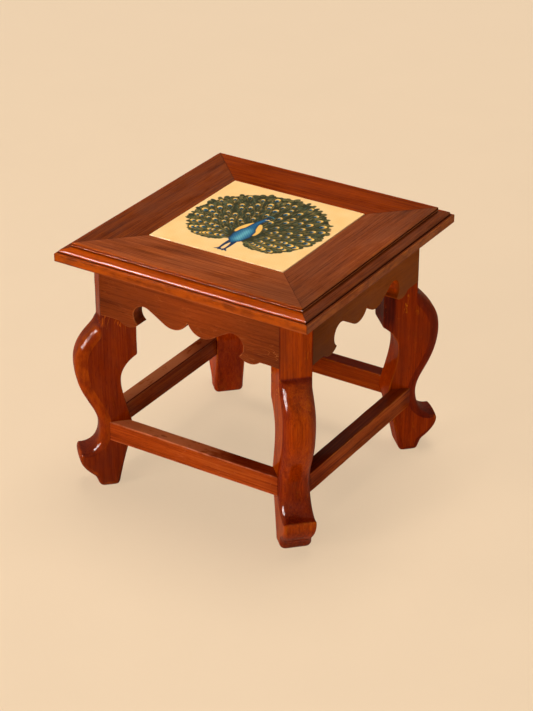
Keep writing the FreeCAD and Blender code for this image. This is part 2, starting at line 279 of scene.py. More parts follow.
class Nodes:
    # builds one node tree; a node is given numbers or the sockets of other nodes
    def __init__(self, tree):
        self.tree = tree

    def feed(self, values, sockets):
        for key, value in values.items():
            if isinstance(value, bpy.types.NodeSocket):
                self.tree.links.new(value, sockets[key])
            else:
                sockets[key].default_value = value

    def add(self, kind, inputs=None, **settings):
        node = self.tree.nodes.new("ShaderNode" + kind)
        for key, value in settings.items():
            setattr(node, key, value)
        self.feed(inputs or {}, node.inputs)
        return node

    def group(self, tree, values):
        # takes from the values those that the group has sockets for
        node = self.add("Group", node_tree=tree)
        self.feed({key: values[key] for key in node.inputs.keys() if key in values}, node.inputs)
        return node.outputs

    def math(self, operation, a, b=0.0, clamp=False):
        return self.add("Math", {0: a, 1: b}, operation=operation, use_clamp=clamp).outputs[0]

    def times(self, *values):
        return functools.reduce(functools.partial(self.math, "MULTIPLY"), values)

    def most(self, *values):
        return functools.reduce(functools.partial(self.math, "MAXIMUM"), values)

    def plus(self, a, b, clamp=False):
        return self.math("ADD", a, b, clamp)

    def less(self, a, b, clamp=False):
        return self.math("SUBTRACT", a, b, clamp)

    def size(self, value):
        return self.math("ABSOLUTE", value)

    def span(self, value, low, high, toLow=0.0, toHigh=1.0):
        limits = {"From Min": low, "From Max": high, "To Min": toLow, "To Max": toHigh}
        return self.add("MapRange", {"Value": value, **limits}).outputs[0]

    def mix(self, share, a, b, blend="MIX"):
        return self.add("Mix", {0: share, 6: a, 7: b}, data_type="RGBA", blend_type=blend).outputs[2]

    def between(self, share, a, b):
        return self.add("Mix", {0: share, 2: a, 3: b}).outputs[0]

    def noise(self, vector, stretch, detail=3.0, rough=0.55, distortion=0.0):
        # noise whose grains are longer or shorter along each axis
        scaled = self.add("VectorMath", {0: vector, 1: stretch}, operation="MULTIPLY").outputs[0]
        look = {"Scale": 1.0, "Detail": detail, "Roughness": rough, "Distortion": distortion}
        return self.add("TexNoise", {"Vector": scaled, **look}).outputs[0]

    def place(self):
        return self.add("TexCoord").outputs["Object"]

    def axes(self, vector):
        return self.add("SeparateXYZ", {0: vector}).outputs

    def fibres(self, fibre, shift):
        # Object coordinates turned so that x runs along the fibres
        values = {"Vector": self.place(), "Location": shift, "Rotation": fibreTurn[fibre]}
        return self.add("Mapping", values).outputs[0]

    def layer(self, name, output="Fac"):
        return self.add("Attribute", attribute_name=name).outputs[output]

    def relief(self, height, strength, depth=0.0004):
        return self.add("Bump", {"Height": height, "Strength": strength, "Distance": depth}).outputs[0]


def newGroup(name, inputs, outputs):
    # sockets named by the keys; how long a value is tells a number, vector or colour
    kinds = {1: "NodeSocketFloat", 3: "NodeSocketVector", 4: "NodeSocketColor"}
    tree = bpy.data.node_groups.new(name, "ShaderNodeTree")
    for way, sockets in (("INPUT", inputs), ("OUTPUT", outputs)):
        for label, value in sockets.items():
            socket = tree.interface.new_socket(label, in_out=way, socket_type=kinds[np.size(value)])
            socket.default_value = value
    return Nodes(tree), tree.nodes.new("NodeGroupInput").outputs, tree.nodes.new("NodeGroupOutput").inputs


def newMaterial(name):
    material = bpy.data.materials.new(name)
    material.use_nodes = True
    return material, Nodes(material.node_tree), material.node_tree.nodes["Principled BSDF"].inputs


# shared effects; noises are (stretch along and across the fibres, detail, roughness, distortion)

figureNoise = dict(
    bands=((5, 75, 75), 3, 0.5, 0.8), streaks=((14, 560, 560), 6, 0.7), clouds=((16, 34, 34), 3, 0.55),
    pores=((120, 2000, 2000), 1, 0.5), patches=((55, 700, 700), 3, 0.6),
)
figureLook = dict(
    poreSpan=(0.58, 0.7), figureShare=0.8, cloudShare=0.2, toMiddle=(0.36, 0.5), toLight=(0.5, 0.64),
    deepTone=(0.35, 0.28, 0.25, 1), blotchSpan=(0.5, 0.68), streakRough=(0.3, 0.7, -0.06, 0.06), poreRough=0.12,
    cloudCoat=(0.35, 0.65, 0.75, 1.25), coatSpan=(0.3, 0.62, 0.25, 1.0),
    streakHeight=0.35, poreDepth=0.6, cloudHeight=1.6,
)
handlingNoise = dict(
    patches=((70, 160, 160), 4, 0.6), lines=((38, 170, 170), 2, 0.5, 0.4), breaks=((40, 60, 60), 2, 0.5),
)
handlingLook = dict(
    wornSpan=(0.38, 0.62, 0.15, 1.0), lineMiddle=0.5, lineSpan=(0.014, 0.004), breakSpan=(0.5, 0.6),
    deepGamma=(0.0, 1.0, 1.0, 2.5), grimeShare=0.92, grimeTone=(0.02, 0.005, 0.002, 1),
    arrisCoat=(0.72, 1.0, 1.0, 0.1), hollowCoat=(0.85, 1.0, 1.0, 0.15),
)


def buildWoodFigure(s):
    # fibres run along x: broad bands, thin streaks and short dark pores
    n, given, out = newGroup("woodFigure", {
        "Vector": (0, 0, 0), "Dark": (0.05, 0.01, 0.0, 1), "Middle": (0.2, 0.05, 0.01, 1),
        "Light": (0.35, 0.1, 0.02, 1), "Streaks": 0.5, "Pores": 0.5, "Blotch": 0.3, "Polish": 0.3, "Lacquer": 0.5,
    }, {"Color": (0, 0, 0, 1), "Roughness": 0.0, "Coat": 0.0, "Height": 0.0})
    bands, streaks, clouds, pores, patches = (n.noise(given["Vector"], *look) for look in figureNoise.values())
    pores = n.span(pores, *s.poreSpan)
    figure = n.between(given["Streaks"], bands, streaks)
    figure = n.plus(n.times(figure, s.figureShare), n.times(clouds, s.cloudShare))
    colour = n.mix(n.span(figure, *s.toMiddle), given["Dark"], given["Middle"])
    colour = n.mix(n.span(figure, *s.toLight), colour, given["Light"])
    dim = n.most(n.times(n.span(clouds, *s.blotchSpan), given["Blotch"]), n.times(pores, given["Pores"]))
    rough = n.plus(given["Polish"], n.span(streaks, *s.streakRough))
    coat = n.span(n.times(patches, n.span(clouds, *s.cloudCoat)), *s.coatSpan)
    height = n.less(n.times(streaks, s.streakHeight), n.times(pores, s.poreDepth))
    n.feed({
        "Color": n.mix(dim, colour, n.mix(1.0, colour, s.deepTone, "MULTIPLY")),
        "Roughness": n.plus(rough, n.times(pores, s.poreRough), True),
        "Coat": n.times(coat, given["Lacquer"]),
        "Height": n.plus(height, n.times(clouds, s.cloudHeight)),
    }, out)
    return n.tree


def buildHandling(s):
    # rubbed, paler arrises that also carry painted light, darker polish with painted shade in the hollows, and a few
    # pale scuffs
    n, given, out = newGroup("handling", {
        "Color": (0.2, 0.05, 0.01, 1), "Vector": (0, 0, 0), "Arris": 0.0, "Hollow": 0.0, "Joint": 0.0,
        "RubbedAndLit": (0.5, 0.2, 0.06, 1), "WearAndLight": 0.5, "Scuffs": 0.3, "Deepen": 0.0, "Lacquer": 0.5,
    }, {"Color": (0, 0, 0, 1), "Coat": 0.0})
    patches, lines, breaks = (n.noise(given["Vector"], *look) for look in handlingNoise.values())
    # the rubbed tone also paints light: on the right notch wall, the left legs' rims, the bar tops and the front
    # fascia
    wornAndLit = n.math("MULTIPLY", n.times(given["Arris"], n.span(patches, *s.wornSpan)), given["WearAndLight"], True)
    lines = n.span(n.size(n.less(lines, s.lineMiddle)), *s.lineSpan)
    marks = n.times(lines, n.span(breaks, *s.breakSpan), n.plus(given["Scuffs"], given["Joint"], True))
    colour = n.mix(marks, n.mix(wornAndLit, given["Color"], given["RubbedAndLit"]), given["RubbedAndLit"])
    redder = n.times(given["Hollow"], given["Deepen"])  # redder where the painted shade and darker polish lie, like stain lying thicker
    colour = n.add("Gamma", {0: colour, 1: n.span(redder, *s.deepGamma)}).outputs[0]
    # painted shade and darker polish, mixed towards a near-black tone
    grime = n.math("MULTIPLY", n.less(given["Hollow"], redder), s.grimeShare, True)
    dull = n.times(n.span(given["Arris"], *s.arrisCoat), n.span(given["Hollow"], *s.hollowCoat))
    n.feed({"Color": n.mix(grime, colour, s.grimeTone), "Coat": n.times(given["Lacquer"], dull)}, out)
    return n.tree


woodFigure = buildWoodFigure(SimpleNamespace(**figureLook))
handling = buildHandling(SimpleNamespace(**handlingLook))


# polished wood; tones that a kind of piece doesn't name are these

woodTones = {
    "Streaks": 0.6, "Pores": 0.55, "Deepen": 0.35, "Relief": 0.12, "CoatRoughness": 0.1, "CutLightTone": (1, 1, 1, 1),
}


def polishedWood(name, fibre, shift, tones, tintAndLight, masks):
    # stained wood under a rubbed lacquer; the colour factor sets one piece a little apart from its neighbours and
    # paints in the light and shade on its side, and cut edges and mouldings can have a tone of their own, used as
    # painted light
    material, n, shader = newMaterial(name)
    stains = {key: tuple(np.array(srgb(tones[key])) * (*tintAndLight, 1)) for key in ("Dark", "Middle", "Light", "RubbedAndLit")}
    values = {**tones, **stains, "Vector": n.fibres(fibre, shift)}
    figure = n.group(woodFigure, values)
    # dim is painted shade from the piece's own masks
    joint, dim, cut = masks(n, n.axes(n.place())) if masks else (0.0, 0.0, None)
    wornAndLit = n.group(handling, {
        **values, "Color": figure["Color"], "Lacquer": figure["Coat"], "Joint": joint,
        "Arris": n.layer("arris"), "Hollow": n.most(n.layer("hollow"), dim),
    })
    n.feed({
        "Base Color": n.mix(cut, wornAndLit["Color"], tones["CutLightTone"], "MULTIPLY") if cut else wornAndLit["Color"],
        "Roughness": figure["Roughness"], "Normal": n.relief(figure["Height"], tones["Relief"]),
        "Specular IOR Level": 0.0,  # the gloss is the lacquer's alone
        "Coat Weight": wornAndLit["Coat"], "Coat Roughness": tones["CoatRoughness"],
    }, shader)
    return material


def towards(n, parts, corner, start, end, depth):
    # painted shade that deepens towards one corner of the stool, from start to end along x and y added up
    reach = n.plus(n.times(parts["X"], corner[0]), n.times(parts["Y"], corner[1]))
    return n.span(reach, start, end, 0.0, depth)


def inFrom(n, value, face, depths, *to):
    # runs between two depths behind a face
    return n.span(value, *((face - depth) * mm for depth in depths), *to)


def addWood(s, number, rings, arris, hollow, masks=None):
    # one wooden piece, turned about the stool's middle to its own side or corner
    place = s.places[number]
    mesh = skinMesh(s.mesh, turnAbout(rings, 90 * number + s.turn), arris, hollow)
    shift = tuple(first + step * number for first, step in s.grainShift)
    tones = {**woodTones, **s.tones, **s.own.get(place, {})}
    wood = polishedWood(s.wood + place, s.fibres[number], shift, tones, s.tints[number], masks)
    addPiece(s.piece + place, mesh, wood, s.node + place)


# top rails; groups of four are front, right, back, left

railShape = dict(
    places=sideNames, mesh="topRail", wood="railWood_", piece="mouldedRail_", node="top_rail_",
    turn=0, fibres="xyxy", grainShift=((0, 0.37), (0, 0.11), (0, 0.05)),
    noseSetback=12.0, noseHeight=3.3, noseRound=0.8, beadRound=0.45, quirkDepth=1.4, quirkHeight=0.9,
    ovoloDrop=1.8, ovoloRim=3.0, ovoloRound=2.2, riser=1.3, bandRound=0.8, easeUnder=0.4, easeInner=0.35,
    grooveLow=panelLow[2], grooveHigh=panelHigh[2] + 0.3, grooveDepth=10.0, mitreGap=0.14, steps=91,
    seed=11, swell=0.07, wave=60, cornerReach=0.9, mitreReach=0.7, mitreGrime=0.5,
    keenTurn=0.3, keenGain=4, quirkGain=1.7, beadWear=0.3,
    # the fascia and slope wear values are partly painted light, highest on the lit front
    keenWear=(1.0, 0.2, 0.6, 0.6), noseWear=(1.0, 0.3, 0.6, 0.6), fasciaWear=(1.0, 0.5, 0.4, 0.4),
    # the slope and face darkening values paint shade on the right slope and on the nose face and riser
    slopeWear=(0.7, 0.0, 0.4, 0.4), slopeGrime=(0.0, 0.32, 0.0, 0.0),
    faceWear=(1.0, 0.0, 0.0, 0.0), faceGrime=(0.58, 0.85, 0.5, 0.5),
    # painted shade deepening towards the front right and back right corners of the top
    deepCorners=[((1.0, -1.0), 0.13, 0.21, 0.33), ((1.0, 1.0), 0.16, 0.22, 0.3)],
    faceDepths=(1.6, 0.8), mouldedDepths=(9.6, 9.2),
    tones={
        "Dark": (82, 30, 9), "Middle": (138, 61, 22), "Light": (172, 84, 34), "RubbedAndLit": (202, 84, 22),
        "Streaks": 0.62, "Pores": 0.5, "Blotch": 0.35, "Polish": 0.4, "WearAndLight": 0.95, "Scuffs": 0.1,
        "Deepen": 0.0, "Lacquer": 0.28, "CoatRoughness": 0.06,
    },
    # on the front rail the cut tone paints light on the moulding
    own={"front": {"RubbedAndLit": (167, 72, 14), "CutLightTone": (1.22, 0.88, 0.1, 1)},
         "right": {"RubbedAndLit": (197, 105, 27)}, "back": {"Lacquer": 0.12}},
    # the tints also paint the light and shade that falls on each side
    tints=[(1.03, 1.08, 1.12), (0.78, 0.8, 0.91), (0.9, 0.57, 0.02), (0.58, 0.45, 0.05)],
)


def railSection(s):
    # section of a rail: x is the distance from the stool's middle, y the height
    nose, foot, bead = topHalf - s.noseSetback, topFace - s.noseHeight, s.beadRound
    quirk, slope = nose - s.quirkDepth, foot - s.quirkHeight
    rim, rimTop = topHalf - s.ovoloRim, slope - s.ovoloDrop
    band = rimTop - s.ovoloRound - s.riser
    groove = openingHalf + s.grooveDepth
    return roundedLoop([
        (openingHalf, topFace, s.easeInner, 0.12, 2.5),
        (nose, topFace, s.noseRound, 0.16, 0.3),
        (nose, foot + 2 * bead, 0, 0, 0),
        (nose + bead, foot + 2 * bead, bead, 0.12, 0),
        (nose + bead, foot, bead, 0.12, 0.3),
        (quirk, foot, 0, 0, 0.2),
        (quirk, slope, 0, 0, 0.7),
        (rim - s.ovoloRound, rimTop, 0, 0, 0),
        (rim, rimTop, s.ovoloRound, 0.25, 0.25),
        (rim, band, 0, 0, 0.4),
        (topHalf, band, s.bandRound, 0.14, 0.9),
        (topHalf, topUnder, s.easeUnder, 0.1, 4),
        (openingHalf, topUnder, 0, 0, 2),
        (openingHalf, s.grooveLow, 0, 0, 5),
        (groove, s.grooveLow, 0, 0, 3),
        (groove, s.grooveHigh, 0, 0, 5),
        (openingHalf, s.grooveHigh, 0, 0, 2),
    ])


def makeRails(s):
    # the section carried from mitre to mitre: x = share of the way times the distance from the middle
    loop = railSection(s)
    turns = loopCorners(loop, s.cornerReach)
    way = easedWay(s.steps)
    out, up = loop.T[:, None]
    rings = np.stack(np.broadcast_arrays(way * (out - s.mitreGap), -out, up), -1)
    ends = bell((1 - np.abs(way)) * topHalf, s.mitreReach) * s.mitreGrime
    shown = (up > topUnder + 1) & (out > openingHalf + 0.2)
    nose, foot = topHalf - s.noseSetback, topFace - s.noseHeight
    onNose = (np.abs(out - nose) < s.noseRound) & (up > foot - 0.2)
    noseTop = onNose & (up > topFace - s.noseRound)
    onBead = onNose & (up < foot + 2 * s.beadRound)
    riserTop = foot - s.quirkHeight - s.ovoloDrop - s.ovoloRound
    onRiser = (np.abs(out - topHalf + s.ovoloRim) < 0.1) & (up < riserTop)
    face = onNose & ~noseTop & ~onBead | onRiser
    fascia = out > topHalf - 0.5  # the lower band is rubbed all over and painted lighter on the lit front
    slope = unit((out - nose) / (topHalf - s.ovoloRim - nose)) * (up < foot) * ~fascia
    keen = unit((turns - s.keenTurn) * s.keenGain) * ~onNose
    # painted shade in the quirks and other concave corners
    quirk = unit(-turns * s.quirkGain)

    def masks(n, parts):
        # painted shade on the top face near two corners, and the moulding has a tone of its own, painted light on the
        # front
        deep = n.most(*(towards(n, parts, *corner) for corner in s.deepCorners))
        level = inFrom(n, parts["Z"], topFace, s.faceDepths)
        return 0.0, n.times(deep, level), n.less(inFrom(n, parts["Z"], topFace, s.mouldedDepths), level, True)

    for k in range(4):
        # rubbed arrises, with painted light on the front fascia and slope
        nosed = largest(noseTop * s.noseWear[k] + onBead * s.beadWear, keen * s.keenWear[k], face * s.faceWear[k])
        arris = largest(fascia * s.fasciaWear[k], slope * s.slopeWear[k], nosed)
        # painted shade in the quirks, on the nose face and riser and on the right slope, with dark mitre joints
        hollow = largest(quirk, face * s.faceGrime[k], (slope > 0) * s.slopeGrime[k]) + ends
        uneven = (slowSwell(rings, s.seed + k, s.swell, s.wave) + s.swell) * (out > openingHalf + 5)
        shaped = rings.copy()
        shaped[..., 2] -= uneven * (up > topUnder + 4)
        shaped[..., 1] += uneven * (up < topFace - 1)
        addWood(s, k, shaped, arris * shown, hollow * shown, masks)


makeRails(SimpleNamespace(**railShape))
print("rails made")


# aprons

apronShape = dict(
    places=sideNames, mesh="apron", wood="apronWood_", piece="scallopedApron_", node="apron_",
    turn=0, fibres="xyxy", grainShift=((0.2, 0.3), (0.07, 0), (0.21, 0)),
    lobe=(17.0, 28.5, 18.0), notch=(50.0, 43.5, 11.8), bead=(68.5, 42.0, 16.0),  # x, depth, radius
    cusp=79.5, depth=57.0, wingRise=1.2, ease=0.75, easeJoint=0.25, endGap=0.06,
    seed=31, swell=0.1, wave=70, cornerReach=1.2, arrisGain=0.6, hollowShare=0.5, edgeDepth=5,
    notchReach=4, notchGain=5, notchFrom=0.5, notchInward=1.6,
    edgeWear=(0.8, 0.12, 0.5, 0.5), underShade=(0.4, 0.0, 0.4, 0.4),
    # the notch values paint shade inside the notches and light on the right apron's notch wall
    notchGrime=(0.7, 0.0, 0.3, 0.3), notchWear=(0.0, 0.75, 0.0, 0.0),
    scratchSpan=(0.084, 0.099, 0.0, 0.9), scratchDepths=(26, 42), seamSpan=(0.0999, 0.1006, 0.0, 0.8),
    shadeDepths=(7, 0), cutDepths=(0.6, 1.6),
    # painted shade deepening towards the two front corners
    deepCorners=[((1.0, -1.0), 0.12, 0.22, 0.5), ((-1.0, -1.0), 0.1, 0.22, 0.5)],
    tones={
        "Dark": (100, 36, 7), "Middle": (134, 50, 9), "Light": (150, 60, 13), "RubbedAndLit": (206, 108, 40),
        "Streaks": 0.62, "Pores": 0.5, "Blotch": 0.28, "Polish": 0.36, "WearAndLight": 0.85, "Scuffs": 0.16,
        "Deepen": 0.0, "Lacquer": 0.15,
    },
    # the right apron's rubbed and cut tones paint light on its notch wall
    own={"right": {"Dark": (124, 46, 8), "Light": (144, 56, 11), "RubbedAndLit": (255, 78, 1), "WearAndLight": 1.0,
                   "Scuffs": 0.05, "CutLightTone": (1.33, 1.16, 0.7, 1)}},
    # the tints also paint the light and shade that falls on each side
    tints=[(1.05, 1.33, 2.3), (0.86, 1.38, 0.87), (0.95, 1.0, 1.1), (0.9, 1.0, 1.2)],
)


def scallopedEdge(s, half):
    # right half of the lower edge, from the middle to the leg: lobe, notch, bead, wing
    lobe, notch, bead = ((x, topUnder - d, r) for x, d, r in (s.lobe, s.notch, s.bead))
    run, fall = notch[0] - lobe[0], lobe[1] - notch[1]
    turn = math.atan2(run, fall) - math.acos((lobe[2] + notch[2]) / math.hypot(run, fall))
    gapX, gapFall = bead[0] - notch[0], notch[1] - bead[1]
    gap, lean = math.hypot(gapX, gapFall), math.atan2(gapX, gapFall)
    notchOpen = math.acos((gap ** 2 + notch[2] ** 2 - bead[2] ** 2) / (2 * gap * notch[2]))
    beadOpen = math.acos((gap ** 2 + bead[2] ** 2 - notch[2] ** 2) / (2 * gap * bead[2]))
    beadEnd = math.asin((s.cusp - bead[0]) / bead[2])
    first = arcOf(lobe[:2], lobe[2], -math.asin(lobe[0] / lobe[2]), turn)
    second = arcOf(notch[:2], notch[2], turn + math.pi, lean - notchOpen)
    third = arcOf(bead[:2], bead[2], lean - math.pi + beadOpen, beadEnd)
    cusp, end = third[-1], np.array([apronFace, topUnder - s.depth])
    t = np.linspace(0, 1, 40)[:, None]
    wing = cusp * (1 - t) + end * t + np.array([0, s.wingRise]) * 4 * t * (1 - t)
    wing = wing[wing[:, 0] < half]
    last = np.array([[half, wing[-1, 1]]])
    return [first, np.array([first[-1], second[0]]), second, third, np.concatenate([wing, last])]


def makeAprons(s):
    # the outline swept through the board's thickness, its ends drawn in at 45 degrees
    half = apronFace - legSide
    right = scallopedEdge(s, half)
    low = right[-1][-1, 1]
    joint, eased = ((s.easeJoint, 0),) * 2, ((s.ease, 0),) * 2
    loop, values = closedLoop([
        (straight((-half, topUnder), (half, topUnder)), 2.0, *joint),
        (straight((half, topUnder), (half, low)), 1.5, *joint),
        *((part[::-1], 0.55, *eased) for part in right[::-1]),
        *((part * (-1, 1), 0.55, *eased) for part in right),
        (straight((-half, low), (-half, topUnder)), 1.5, *joint),
    ])
    loop = softened(loop, 0.25, 2)
    across, outline, edge = easedBoard(loop, values[:, 0], values[:, 1], apronThick / 2, 12, 8)
    inward = (across + apronThick / 2)[:, None]
    x, z = outline[..., 0], outline[..., 1]
    beyond = np.maximum(np.abs(x) - s.cusp, 0) / (half - s.cusp)
    reach = np.minimum(np.abs(x), s.cusp) + beyond * (half - s.endGap - inward - s.cusp)
    rings = np.stack([np.sign(x) * reach, -apronFace + inward + 0 * x, z], -1)
    turns = loopCorners(loop, s.cornerReach)
    lowEdge = loop[:, 1] < topUnder - s.edgeDepth
    arris = unit(edge + np.maximum(turns, 0) * s.arrisGain) * lowEdge
    # painted shade in the concave corners of the lower edge
    hollow = unit(-turns) * s.hollowShare * lowEdge
    notched = unit(-loopCorners(loop, s.notchReach) * s.notchGain - s.notchFrom)
    notched = notched * unit(inward / apronThick * s.notchInward)
    for k in range(4):
        def masks(n, parts):
            # scratched near the legs, with painted shade close under the top and towards the front corners, and a cut
            # tone that paints light on the right
            x, y, z = n.size(parts["X"]), n.size(parts["Y"]), parts["Z"]
            along = n.math("MINIMUM", x, y)
            joint = n.times(n.span(along, *s.scratchSpan), inFrom(n, z, topUnder, s.scratchDepths))
            under = inFrom(n, z, topUnder, s.shadeDepths, 0.0, s.underShade[k])
            deep = (towards(n, parts, *corner) for corner in s.deepCorners)
            behind = inFrom(n, n.most(x, y), apronFace, s.cutDepths)
            return joint, n.most(n.span(along, *s.seamSpan), under, *deep), behind

        shaped = rings.copy()
        shaped[..., 1] += slowSwell(rings, s.seed + k, s.swell, s.wave)
        # rubbed edges with painted light on the right notch wall, and painted shade in the corners and notches
        wornAndLit = largest(arris * s.edgeWear[k], notched * s.notchWear[k])
        addWood(s, k, shaped, wornAndLit, largest(hollow, notched * s.notchGrime[k]), masks)


makeAprons(SimpleNamespace(**apronShape))
print("aprons made")


# legs; groups of four are front right, back right, back left, front left

legShape = dict(
    places=cornerNames, mesh="leg", wood="legWood_", piece="carvedLeg_", node="leg_",
    turn=-45, fibres="zzzz", grainShift=((0.1, 0.4), (0.03, 0), (0.3, 0)), postDepth=34.6,
    shelf=(0, 182.0), kneeTop=(5.6, 177.4), knee=(26.0, 138.0), kneeLead=9.0, kneeUp=20.0, kneeDown=38.0,
    ankle=(4.2, 65.0), ankleUp=24.0, ankleDown=15.0, lip=(24.4, 40.0), scoopLead=(-12.0, 1.0),
    toe=(28.4, 34.0), toeUnder=(25.4, 24.0), heel=(12.9, 13.5), heelLead=(8.4, 10.5),
    footLead=(8.4, 3.0), footOut=(5.9, 0), footIn=(-13.1, 0), instepLow=(-15.5, 14.0), instepHigh=(-20.7, 38.0),
    block=(6.0, 64.5), blockUp=11.5, hollow=(16.8, 120.0), hollowDown=20.0, hollowUp=11.0,
    postFoot=(0, 147.0), postFootLead=(10.0, 140.5), footSoft=9.0, footBlend=4,
    round=12.0, shelfRound=10.0, arris=0.7, toeRound=6.0, lipRound=2.3, footRound=7.0,
    soleRound=5.5, scoopRound=5.0, scoopCrown=3.4, lipCrown=1.2, insideRound=1.0,
    # painted shade and dark reflections at the shelf step, knee top, ankle, scoop, lip and heel
    grime=dict(shelf=0.7, kneeTop=0.06, ankle=0.24, scoop=0.42, lip=0.8, heel=0.3),
    seed=51, swell=0.25, wave=45, rippleSeed=61, ripple=0.12, rippleWave=13,
    cornerReach=1.5, arrisGain=0.5, postWear=0.15, keenWear=0.5, keenRound=1.2,
    # painted shade in the concave corners, and darker along the post's edges
    hollowGain=1.8, hollowFrom=0.35, hollowShare=0.8, postGrime=0.5,
    rimFrom=0.5, rimSpan=0.4, flankFrom=0.05, flankSpan=0.5, bulgeFrom=3, bulgeSpan=3,
    # the rim values paint shade and dark reflection on the rounded rims, and light on the left legs' rounding
    innerShade=(0.0, 0.72, 0.2, 0.0), rimGrime=(0.42, 0.28, 0.2, 0.0), rimWear=(0.0, 0.0, 0.2, 0.8),
    grimeShare=(1.0, 1.0, 0.8, 0.5),
    jointHeight=0.176, jointSpan=(0.008, 0.022, 0.9, 0.0), kneeSquare=(0.0266, 0.0246),
    postSquare=(0.0189, 0.0184), innerHeights=(0.138, 0.156),
    tones={
        "Dark": (108, 29, 1), "Middle": (146, 45, 1), "Light": (172, 63, 3), "RubbedAndLit": (222, 120, 40),
        "Blotch": 0.45, "Polish": 0.32, "WearAndLight": 0.5, "Scuffs": 0.12, "Relief": 0.09, "Lacquer": 0.25,
    },
    own={"back_right": {"Lacquer": 0.15}, "front_left": {"RubbedAndLit": (226, 104, 16)}},
    # the tints also paint the light and shade that falls on each leg
    tints=[(1.08, 1.41, 0.2), (0.85, 0.84, 0.05), (1.15, 1.1, 0.3), (0.65, 0.64, 0.05)],
)


def legOutline(s):
    # side view of a leg: x is the distance from the stool's middle along the diagonal, y the height;
    # the values along it are the edge rounding, the crown and the painted shade
    outer = apronFace * math.sqrt(2) - legThick / 2
    inner = outer - s.postDepth

    def out(point, rise=0.0):
        return np.array([outer + point[0], point[1] + rise])

    def into(point, rise=0.0):
        return np.array([inner + point[0], point[1] + rise])

    topOut, topIn = (outer, topUnder), (inner, topUnder)
    lead = np.array([s.kneeLead, -s.kneeLead])
    grime = SimpleNamespace(**s.grime)
    keen, step, high = (s.arris, 0, 0), (s.arris, 0, grime.shelf), (s.shelfRound, 0, grime.kneeTop)
    full, ankle, scoop = (s.round, 0, 0), (s.round, 0, grime.ankle), (s.scoopRound, s.scoopCrown, grime.scoop)
    lip, toeTop = (s.lipRound, s.lipCrown, grime.lip), (s.lipRound, s.lipCrown, 0)
    toe, foot = (s.toeRound, 0, grime.heel), (s.footRound, 0, grime.heel)
    inside, sole = (s.insideRound, 0, 0), (s.soleRound, 0, 0)
    knee, ankleAt, hollow = out(s.knee), out(s.ankle), into(s.hollow)
    scooped = bezier(ankleAt, out(s.ankle, -s.ankleDown), out(s.lip) + s.scoopLead, out(s.lip))
    return closedLoop([
        (straight(topOut, out(s.shelf)), 0.8, keen, keen),
        (straight(out(s.shelf), out(s.kneeTop)), 0.6, step, high),
        (bezier(out(s.kneeTop), out(s.kneeTop) + lead, out(s.knee, s.kneeUp), knee), 1.0, high, full),
        (bezier(knee, out(s.knee, -s.kneeDown), out(s.ankle, s.ankleUp), ankleAt), 1.0, full, ankle),
        (scooped[:81], 0.8, ankle, scoop),
        (scooped[80:], 0.8, scoop, lip),
        (bezier(out(s.lip), out(s.toe), out(s.toeUnder), out(s.heel)), 0.7, toeTop, toe),
        (bezier(out(s.heel), out(s.heelLead), out(s.footLead), out(s.footOut)), 0.7, toe, foot),
        (straight(out(s.footOut), out(s.footIn)), 0.8, sole, sole),
        (bezier(out(s.footIn), out(s.instepLow), out(s.instepHigh), into(s.block)), 1.0, sole, inside),
        (bezier(into(s.block), into(s.block, s.blockUp), into(s.hollow, -s.hollowDown), hollow), 1.0, inside, inside),
        (bezier(hollow, into(s.hollow, s.hollowUp), into(s.postFootLead), into(s.postFoot)), 1.0, inside, inside),
        (straight(into(s.postFoot), topIn), 2.0, keen, keen),
        (straight(topIn, topOut), 2.0, keen, keen),
    ])


def makeLegs(s):
    # the side view swept through the plank, its outer edge rounded from the knee to the toe
    loop, values = legOutline(s)
    loop = softened(loop, 0.3, 2)
    loop = loop + (softened(loop, 0.5, 22) - loop) * unit((s.footSoft - loop[:, 1:]) / s.footBlend)
    rounding, crown, grime = (softened(values[:, k], 0.5, passes) for k, passes in enumerate((16, 40, 3)))
    across, outline, edge = easedBoard(loop, rounding, crown, legThick / 2, 19, 50)
    turns = loopCorners(loop, s.cornerReach)
    onPost = loop[:, 1] > s.shelf[1] + 1
    wear = np.where(onPost, s.postWear, np.where(rounding > s.keenRound, 1.0, s.keenWear))
    arris = unit(edge + np.maximum(turns, 0) * s.arrisGain) * wear
    # painted shade in the concave corners and along the outline, and darker along the post's edges
    corners = unit(-turns * s.hollowGain - s.hollowFrom) * s.hollowShare
    hollow = largest(corners, grime, edge * onPost * s.postGrime)
    share = np.abs(across)[:, None] / (legThick / 2)
    bulged = unit((rounding - s.bulgeFrom) / s.bulgeSpan)
    rim = unit((share - s.rimFrom) / s.rimSpan) * bulged
    flank = unit((share - s.flankFrom) / s.flankSpan) * bulged
    rings = np.stack([outline[..., 0], across[:, None] + 0 * outline[..., 0], outline[..., 1]], -1)
    for k in range(4):
        def masks(n, parts):
            # scratched round the apron joints, and painted shade on the inner part of the post under the aprons
            x, y, z = (parts[axis] for axis in "XYZ")
            square = n.plus(n.times(x, x), n.times(y, y))  # of the distance from the middle
            gap = n.size(n.less(z, s.jointHeight))
            joint = n.times(n.span(gap, *s.jointSpan), n.span(square, *s.kneeSquare))
            inner = n.span(square, *s.postSquare, 0.0, s.innerShade[k])
            return joint, n.times(inner, n.span(z, *s.innerHeights)), None

        shaped = rings.copy()
        uneven = slowSwell(rings, s.seed + k, s.swell, s.wave)
        uneven += slowSwell(rings, s.rippleSeed + k, s.ripple, s.rippleWave)
        shaped[..., 0] += uneven * (rings[..., 2] > 3)
        # painted shade and dark reflection on the rims; painted light on the left legs' rounding
        dark = largest(hollow * s.grimeShare[k], rim * s.rimGrime[k])
        addWood(s, k, shaped, largest(arris, flank * s.rimWear[k]), dark, masks)


makeLegs(SimpleNamespace(**legShape))
print("legs made")


# stretchers; pairs are the two ends of a bar

